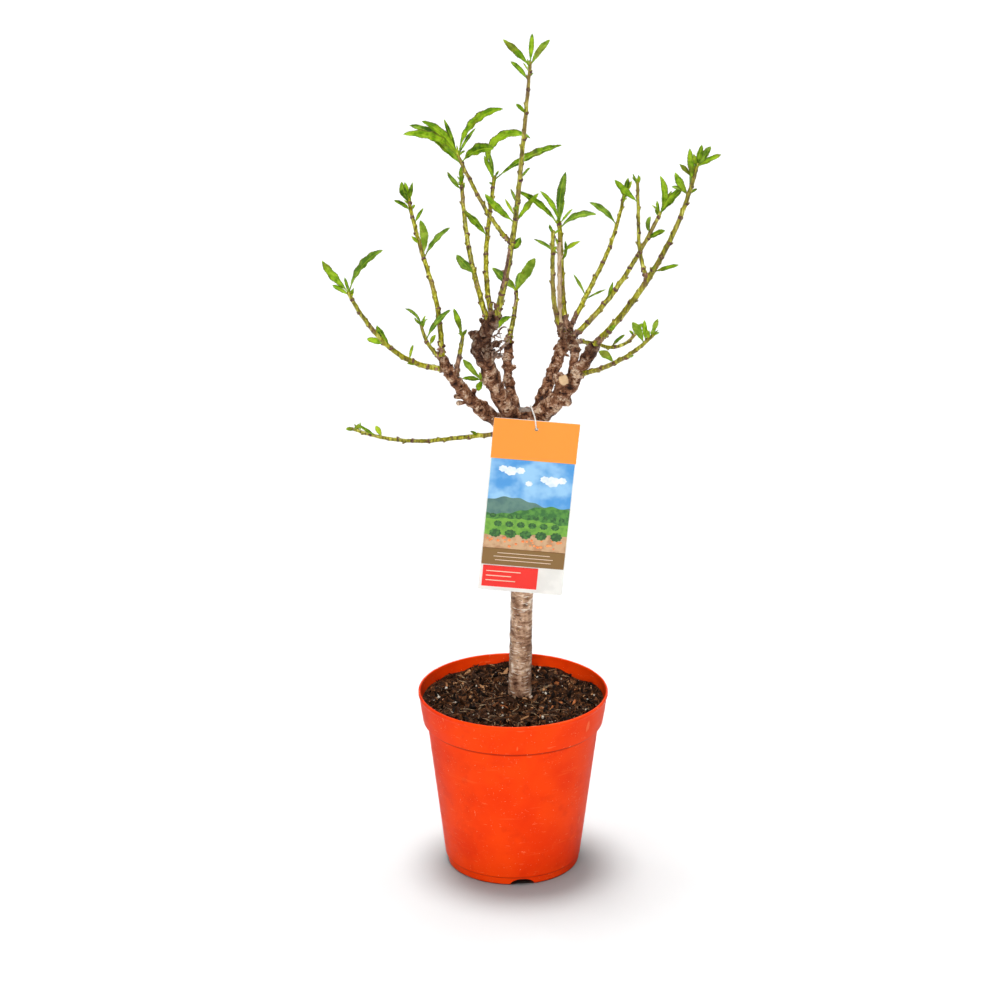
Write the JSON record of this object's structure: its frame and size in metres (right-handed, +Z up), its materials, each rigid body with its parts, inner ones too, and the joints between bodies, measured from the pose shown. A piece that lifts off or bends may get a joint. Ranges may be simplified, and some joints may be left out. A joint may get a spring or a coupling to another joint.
{
  "type": "dwarf peach tree in a nursery pot",
  "caption": "Young dwarf peach tree on a short bare trunk with an open goblet of leafy shoots, in a tapered plastic nursery pot with a hanging card label.",
  "frame": {"origin": "centre of the flat underside of the pot", "axes": "+Z up out of the pot, -Y towards the front where the label hangs, +X to the right"},
  "size_m": [0.3937, 0.2893, 0.9261],
  "materials": {
    "pot_plastic": "satin orange-red moulded plastic",
    "compost": "dark brown moist peat compost with white perlite",
    "trunk_bark": "grey-brown bark with level lines",
    "bough_bark": "rough brown knobbly bark",
    "green_shoot": "yellow-green bark and matt green leaves",
    "label_card": "printed coated card",
    "tie_elastic": "white elastic cord"
  },
  "bodies": {
    "root": {"pot": "pot_plastic", "soil": "compost", "trunk": "trunk_bark", "left_bough": "bough_bark", "front_bough": "bough_bark", "front_spur": "bough_bark", "back_bough": "bough_bark", "inner_right_bough": "bough_bark", "outer_right_bough": "bough_bark", "crotch_bough": "bough_bark", "low_left_shoot": "green_shoot", "far_left_shoot": "green_shoot", "small_left_shoot": "green_shoot", "tall_left_shoot": "green_shoot", "inner_left_shoot": "green_shoot", "inner_front_shoot": "green_shoot", "middle_front_shoot": "green_shoot", "leader_shoot": "green_shoot", "back_shoot": "green_shoot", "inner_right_shoot": "green_shoot", "upright_right_shoot": "green_shoot", "back_right_shoot": "green_shoot", "middle_right_shoot": "green_shoot", "far_right_shoot": "green_shoot", "low_right_shoot": "green_shoot", "back_low_shoot": "green_shoot", "front_tuft": "green_shoot", "label": "label_card", "label_tie": "tie_elastic"}
  },
  "joints": []
}
